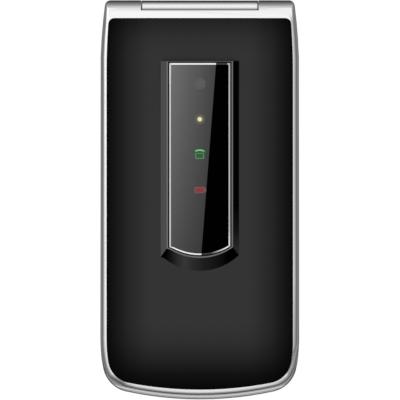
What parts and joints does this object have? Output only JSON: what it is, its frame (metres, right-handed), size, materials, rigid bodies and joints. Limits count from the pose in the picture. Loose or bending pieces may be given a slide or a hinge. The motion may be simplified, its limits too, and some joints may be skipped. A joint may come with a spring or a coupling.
{
  "type": "flip phone",
  "caption": "Folding mobile phone with a hinged lid, a smoked window and keypad, and a slide-off battery cover.",
  "frame": {"origin": "middle of the closed phone's bounding box, on the plane that its back lies on", "axes": "+Z out of the lid's outer face, +Y toward the hinge, +X to the right when the closed lid is looked at with the hinge at the top"},
  "size_m": [0.0538, 0.108, 0.0195],
  "materials": {
    "silver_shell": "bright plated plastic",
    "black_gloss": "high gloss",
    "smoked_glass": "polished, smoked",
    "clear_lens": "polished",
    "bright_trim": "polished",
    "cover_plastic": "fine satin",
    "inner_plastic": "satin",
    "key_plastic": "satin",
    "green_key": "satin",
    "red_key": "satin",
    "black_plastic": "matt",
    "rubber": "matt",
    "board": "solder mask",
    "steel": "brushed",
    "gold_contact": "plated",
    "battery_case": "wrapped",
    "display": "satin",
    "led_lens": "clear",
    "green_light": "translucent",
    "red_light": "translucent"
  },
  "bodies": {
    "base": {"rear_case": "silver_shell", "front_frame": "silver_shell", "hinge_barrel": "silver_shell", "main_board": "board", "shield_can": "steel", "key_domes": "steel", "battery": "battery_case", "battery_contacts": "gold_contact", "card_holder": "steel", "loudspeaker": "black_plastic", "microphone": "steel", "vibration_motor": "steel", "usb_socket": "steel", "audio_jack": "black_plastic", "charging_contacts": "gold_contact", "antenna": "gold_contact", "base_screws": "steel", "rest_pads": "rubber", "hinge_shaft": "steel", "hinge_pin": "steel"},
    "lid": {"lid_frame": "silver_shell", "lid_cover": "black_gloss", "window_glass": "smoked_glass", "window_trim": "bright_trim", "lid_inner_cover": "inner_plastic", "display_lens": "clear_lens", "display_module": "display", "earpiece": "black_plastic", "lid_board": "board", "camera_module": "black_plastic", "flash_led": "led_lens", "call_icon": "green_light", "battery_icon": "red_light", "lid_magnet": "steel", "lid_screws": "steel", "cam_housing": "steel", "hinge_spring": "steel"},
    "battery_cover": {"battery_cover": "cover_plastic"},
    "vibration_weight": {"vibration_weight": "steel"},
    "volume_rocker": {"volume_rocker": "silver_shell"},
    "side_key": {"side_key": "silver_shell"},
    "nav_rocker": {"nav_rocker": "silver_shell"},
    "key_1": {"key_1": "key_plastic"},
    "key_2": {"key_2": "key_plastic"},
    "key_3": {"key_3": "key_plastic"},
    "key_4": {"key_4": "key_plastic"},
    "key_5": {"key_5": "key_plastic"},
    "key_6": {"key_6": "key_plastic"},
    "key_7": {"key_7": "key_plastic"},
    "key_8": {"key_8": "key_plastic"},
    "key_9": {"key_9": "key_plastic"},
    "key_star": {"key_star": "key_plastic"},
    "key_0": {"key_0": "key_plastic"},
    "key_hash": {"key_hash": "key_plastic"},
    "call_key": {"call_key": "green_key"},
    "end_key": {"end_key": "red_key"},
    "soft_key_left": {"soft_key_left": "key_plastic"},
    "soft_key_right": {"soft_key_right": "key_plastic"},
    "ok_key": {"ok_key": "key_plastic"}
  },
  "joints": [
    {"name": "lid_hinge", "type": "hinge", "parent": "base", "child": "lid", "pos_m": [0, 0.0485, 0.01203], "axis": [-1, 0, 0], "range_deg": [0, 160]},
    {"name": "battery_cover_slide", "type": "slide", "parent": "base", "child": "battery_cover", "axis": [0, -1, 0], "range_m": [0, 0.075]},
    {"name": "vibration_weight_spin", "type": "hinge", "parent": "base", "child": "vibration_weight", "pos_m": [0.013, 0.0354, 0.0048], "axis": [1, 0, 0], "continuous": true},
    {"name": "volume_rocker_tilt", "type": "hinge", "parent": "base", "child": "volume_rocker", "pos_m": [-0.02505, 0.014, 0.0077], "axis": [0, 0, 1], "range_deg": [-1.2, 1.2], "stiffness_Nm_per_rad": 0.5},
    {"name": "side_key_press", "type": "slide", "parent": "base", "child": "side_key", "axis": [-1, 0, 0], "range_m": [0, 0.0003], "stiffness_N_per_m": 400, "springref_m": -0.0005},
    {"name": "nav_rocker_tilt", "type": "hinge", "parent": "base", "child": "nav_rocker", "pos_m": [0, 0.0198, 0.0096], "axis": [1, 0, 0], "range_deg": [-1.3, 1.3], "stiffness_Nm_per_rad": 0.5},
    {"name": "key_1_press", "type": "slide", "parent": "base", "child": "key_1", "axis": [0, 0, -1], "range_m": [0, 0.00025], "stiffness_N_per_m": 400, "springref_m": -0.0005},
    {"name": "key_2_press", "type": "slide", "parent": "base", "child": "key_2", "axis": [0, 0, -1], "range_m": [0, 0.00025], "stiffness_N_per_m": 400, "springref_m": -0.0005},
    {"name": "key_3_press", "type": "slide", "parent": "base", "child": "key_3", "axis": [0, 0, -1], "range_m": [0, 0.00025], "stiffness_N_per_m": 400, "springref_m": -0.0005},
    {"name": "key_4_press", "type": "slide", "parent": "base", "child": "key_4", "axis": [0, 0, -1], "range_m": [0, 0.00025], "stiffness_N_per_m": 400, "springref_m": -0.0005},
    {"name": "key_5_press", "type": "slide", "parent": "base", "child": "key_5", "axis": [0, 0, -1], "range_m": [0, 0.00025], "stiffness_N_per_m": 400, "springref_m": -0.0005},
    {"name": "key_6_press", "type": "slide", "parent": "base", "child": "key_6", "axis": [0, 0, -1], "range_m": [0, 0.00025], "stiffness_N_per_m": 400, "springref_m": -0.0005},
    {"name": "key_7_press", "type": "slide", "parent": "base", "child": "key_7", "axis": [0, 0, -1], "range_m": [0, 0.00025], "stiffness_N_per_m": 400, "springref_m": -0.0005},
    {"name": "key_8_press", "type": "slide", "parent": "base", "child": "key_8", "axis": [0, 0, -1], "range_m": [0, 0.00025], "stiffness_N_per_m": 400, "springref_m": -0.0005},
    {"name": "key_9_press", "type": "slide", "parent": "base", "child": "key_9", "axis": [0, 0, -1], "range_m": [0, 0.00025], "stiffness_N_per_m": 400, "springref_m": -0.0005},
    {"name": "key_star_press", "type": "slide", "parent": "base", "child": "key_star", "axis": [0, 0, -1], "range_m": [0, 0.00025], "stiffness_N_per_m": 400, "springref_m": -0.0005},
    {"name": "key_0_press", "type": "slide", "parent": "base", "child": "key_0", "axis": [0, 0, -1], "range_m": [0, 0.00025], "stiffness_N_per_m": 400, "springref_m": -0.0005},
    {"name": "key_hash_press", "type": "slide", "parent": "base", "child": "key_hash", "axis": [0, 0, -1], "range_m": [0, 0.00025], "stiffness_N_per_m": 400, "springref_m": -0.0005},
    {"name": "call_key_press", "type": "slide", "parent": "base", "child": "call_key", "axis": [0, 0, -1], "range_m": [0, 0.00025], "stiffness_N_per_m": 400, "springref_m": -0.0005},
    {"name": "end_key_press", "type": "slide", "parent": "base", "child": "end_key", "axis": [0, 0, -1], "range_m": [0, 0.00025], "stiffness_N_per_m": 400, "springref_m": -0.0005},
    {"name": "soft_key_left_press", "type": "slide", "parent": "base", "child": "soft_key_left", "axis": [0, 0, -1], "range_m": [0, 0.00025], "stiffness_N_per_m": 400, "springref_m": -0.0005},
    {"name": "soft_key_right_press", "type": "slide", "parent": "base", "child": "soft_key_right", "axis": [0, 0, -1], "range_m": [0, 0.00025], "stiffness_N_per_m": 400, "springref_m": -0.0005},
    {"name": "ok_key_press", "type": "slide", "parent": "base", "child": "ok_key", "axis": [0, 0, -1], "range_m": [0, 0.00025], "stiffness_N_per_m": 400, "springref_m": -0.0005}
  ]
}
